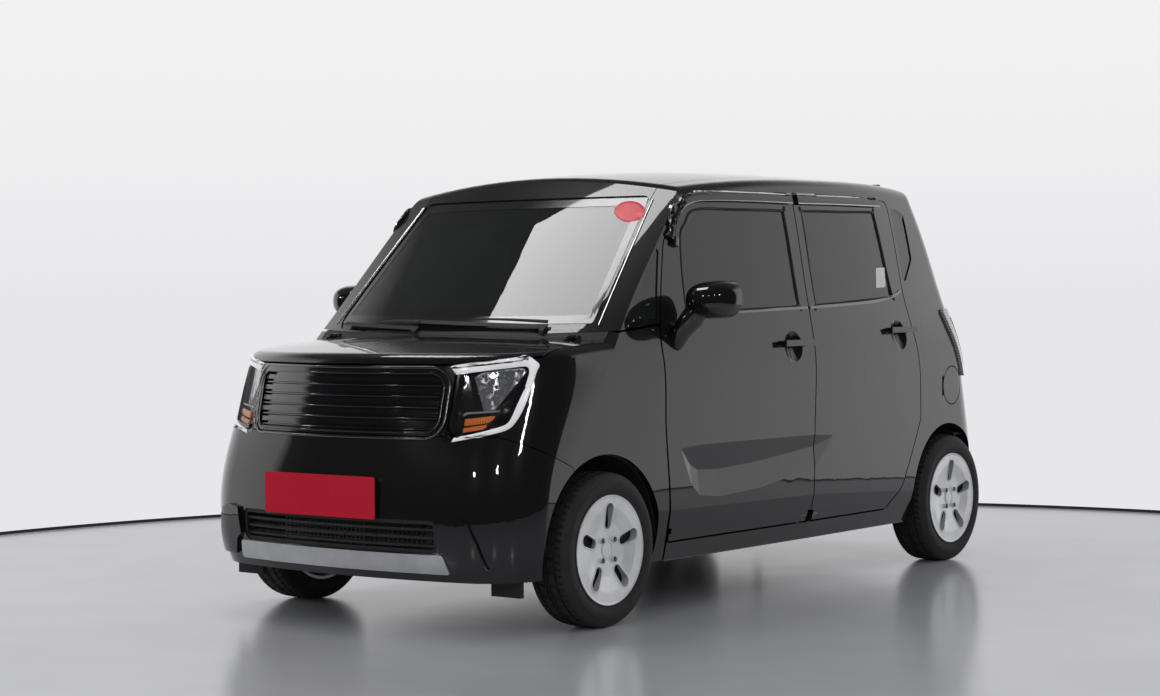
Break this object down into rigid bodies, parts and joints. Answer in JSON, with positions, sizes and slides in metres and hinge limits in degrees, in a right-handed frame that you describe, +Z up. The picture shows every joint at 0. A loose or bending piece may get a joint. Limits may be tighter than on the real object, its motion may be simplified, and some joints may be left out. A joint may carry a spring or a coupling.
{
  "type": "kei car",
  "caption": "Boxy tall black city car with hinged doors, a lifting bonnet and tailgate, steered front wheels and a cabin with seats.",
  "frame": {"origin": "on the ground under the middle of the car's length and width", "axes": "+X to the car's left side, +Y to its rear, +Z up; the car faces -Y"},
  "size_m": [1.992, 3.5942, 1.701],
  "materials": {
    "black_paint": "gloss black",
    "gloss_black": "piano black",
    "black_plastic": "grained black",
    "silver_paint": "satin silver",
    "dark_glass": "tinted",
    "clear_lens": "clear",
    "lamp_chrome": "bright",
    "lamp_red": "clear red and white",
    "red_plate": "plain red",
    "body_steel": "satin black",
    "radiator_core": "dull",
    "engine_alloy": "cast",
    "chassis_steel": "black coated",
    "exhaust_steel": "heat dulled",
    "tank_plastic": "moulded",
    "seat_cloth": "dark woven",
    "dash_plastic": "soft grained",
    "wheel_leather": "dark",
    "tyre": "black rubber",
    "wheel_silver": "silver"
  },
  "bodies": {
    "body": {"sliding_door_right": "black_paint", "sliding_door_glass": "dark_glass", "fixed_side_glass": "dark_glass", "body_sides": "black_paint", "roof_panel": "black_paint", "windshield": "dark_glass", "cowl": "black_plastic", "front_fenders": "black_paint", "front_bumper": "black_paint", "skid_bar": "silver_paint", "grille_panel": "gloss_black", "lower_grille": "black_plastic", "headlamp_lenses": "clear_lens", "headlamp_housings": "lamp_chrome", "rear_bumper": "black_paint", "tail_lamps": "lamp_red", "front_plate": "red_plate", "floor_pan": "body_steel", "front_structure": "body_steel", "radiator": "radiator_core", "engine_block": "engine_alloy", "front_subframe": "chassis_steel", "rear_axle": "chassis_steel", "exhaust": "exhaust_steel", "fuel_tank": "tank_plastic", "front_liners": "black_plastic", "front_seats": "seat_cloth", "rear_seats": "seat_cloth", "dashboard": "dash_plastic", "wipers": "black_plastic"},
    "hood": {"hood": "black_paint"},
    "front_door_left": {"front_door_left": "black_paint", "front_door_glass_left": "dark_glass", "mirror_left": "gloss_black"},
    "front_door_right": {"front_door_right": "black_paint", "front_door_glass_right": "dark_glass", "mirror_right": "gloss_black"},
    "rear_door_left": {"rear_door_left": "black_paint", "rear_door_glass_left": "dark_glass"},
    "tailgate": {"tailgate": "black_paint", "tailgate_glass": "dark_glass"},
    "fuel_flap": {"fuel_flap": "black_paint"},
    "knuckle_left": {"knuckle_left": "chassis_steel"},
    "knuckle_right": {"knuckle_right": "chassis_steel"},
    "tie_rods": {"tie_rods": "chassis_steel"},
    "steering_wheel": {"steering_wheel": "wheel_leather"},
    "wheel_front_left": {"rim_front_left": "wheel_silver", "tyre_front_left": "tyre"},
    "wheel_front_right": {"rim_front_right": "wheel_silver", "tyre_front_right": "tyre"},
    "wheel_rear_left": {"rim_rear_left": "wheel_silver", "tyre_rear_left": "tyre"},
    "wheel_rear_right": {"rim_rear_right": "wheel_silver", "tyre_rear_right": "tyre"}
  },
  "joints": [
    {"name": "steer_left", "type": "hinge", "parent": "body", "child": "knuckle_left", "pos_m": [0.66, -1.1675, 0.19], "axis": [-0.1988, 0, 0.98], "range_deg": [-33, 33]},
    {"name": "steer_right", "type": "hinge", "parent": "body", "child": "knuckle_right", "pos_m": [-0.66, -1.1675, 0.19], "axis": [0.1988, 0, 0.98], "range_deg": [-33, 33]},
    {"name": "rack_travel", "type": "slide", "parent": "body", "child": "tie_rods", "axis": [-1, 0, 0], "range_m": [-0.062, 0.062]},
    {"name": "steering_wheel_turn", "type": "hinge", "parent": "body", "child": "steering_wheel", "pos_m": [0.345, -0.455, 0.955], "axis": [0, 0.9135, 0.4067], "range_deg": [-528, 528]},
    {"name": "front_door_left_hinge", "type": "hinge", "parent": "body", "child": "front_door_left", "pos_m": [0.803, -0.818, 0.7], "axis": [0, 0, -1], "range_deg": [0, 68]},
    {"name": "front_door_right_hinge", "type": "hinge", "parent": "body", "child": "front_door_right", "pos_m": [-0.803, -0.818, 0.7], "axis": [0, 0, 1], "range_deg": [0, 68]},
    {"name": "rear_door_left_hinge", "type": "hinge", "parent": "body", "child": "rear_door_left", "pos_m": [0.806, 0.206, 0.7], "axis": [0, 0, -1], "range_deg": [0, 75]},
    {"name": "hood_hinge", "type": "hinge", "parent": "body", "child": "hood", "pos_m": [0, -1.121, 1.03], "axis": [-1, 0, 0], "range_deg": [0, 55]},
    {"name": "tailgate_hinge", "type": "hinge", "parent": "body", "child": "tailgate", "pos_m": [0, 1.349, 1.662], "axis": [1, 0, 0], "range_deg": [0, 80]},
    {"name": "fuel_flap_hinge", "type": "hinge", "parent": "body", "child": "fuel_flap", "pos_m": [0.76195, 1.3115, 0.774], "axis": [0, 0, -1], "range_deg": [0, 100]},
    {"name": "wheel_front_left_spin", "type": "hinge", "parent": "knuckle_left", "child": "wheel_front_left", "pos_m": [0.702, -1.1675, 0.278], "axis": [1, 0, 0], "continuous": true},
    {"name": "wheel_front_right_spin", "type": "hinge", "parent": "knuckle_right", "child": "wheel_front_right", "pos_m": [-0.702, -1.1675, 0.278], "axis": [1, 0, 0], "continuous": true},
    {"name": "wheel_rear_left_spin", "type": "hinge", "parent": "body", "child": "wheel_rear_left", "pos_m": [0.702, 1.3525, 0.278], "axis": [1, 0, 0], "continuous": true},
    {"name": "wheel_rear_right_spin", "type": "hinge", "parent": "body", "child": "wheel_rear_right", "pos_m": [-0.702, 1.3525, 0.278], "axis": [1, 0, 0], "continuous": true}
  ],
  "couplings": [
    {"joint": "steer_right", "follows": "steer_left", "ratio": 1},
    {"joint": "rack_travel", "follows": "steer_left", "m_per_rad": 0.105},
    {"joint": "steering_wheel_turn", "follows": "steer_left", "ratio": 16}
  ]
}
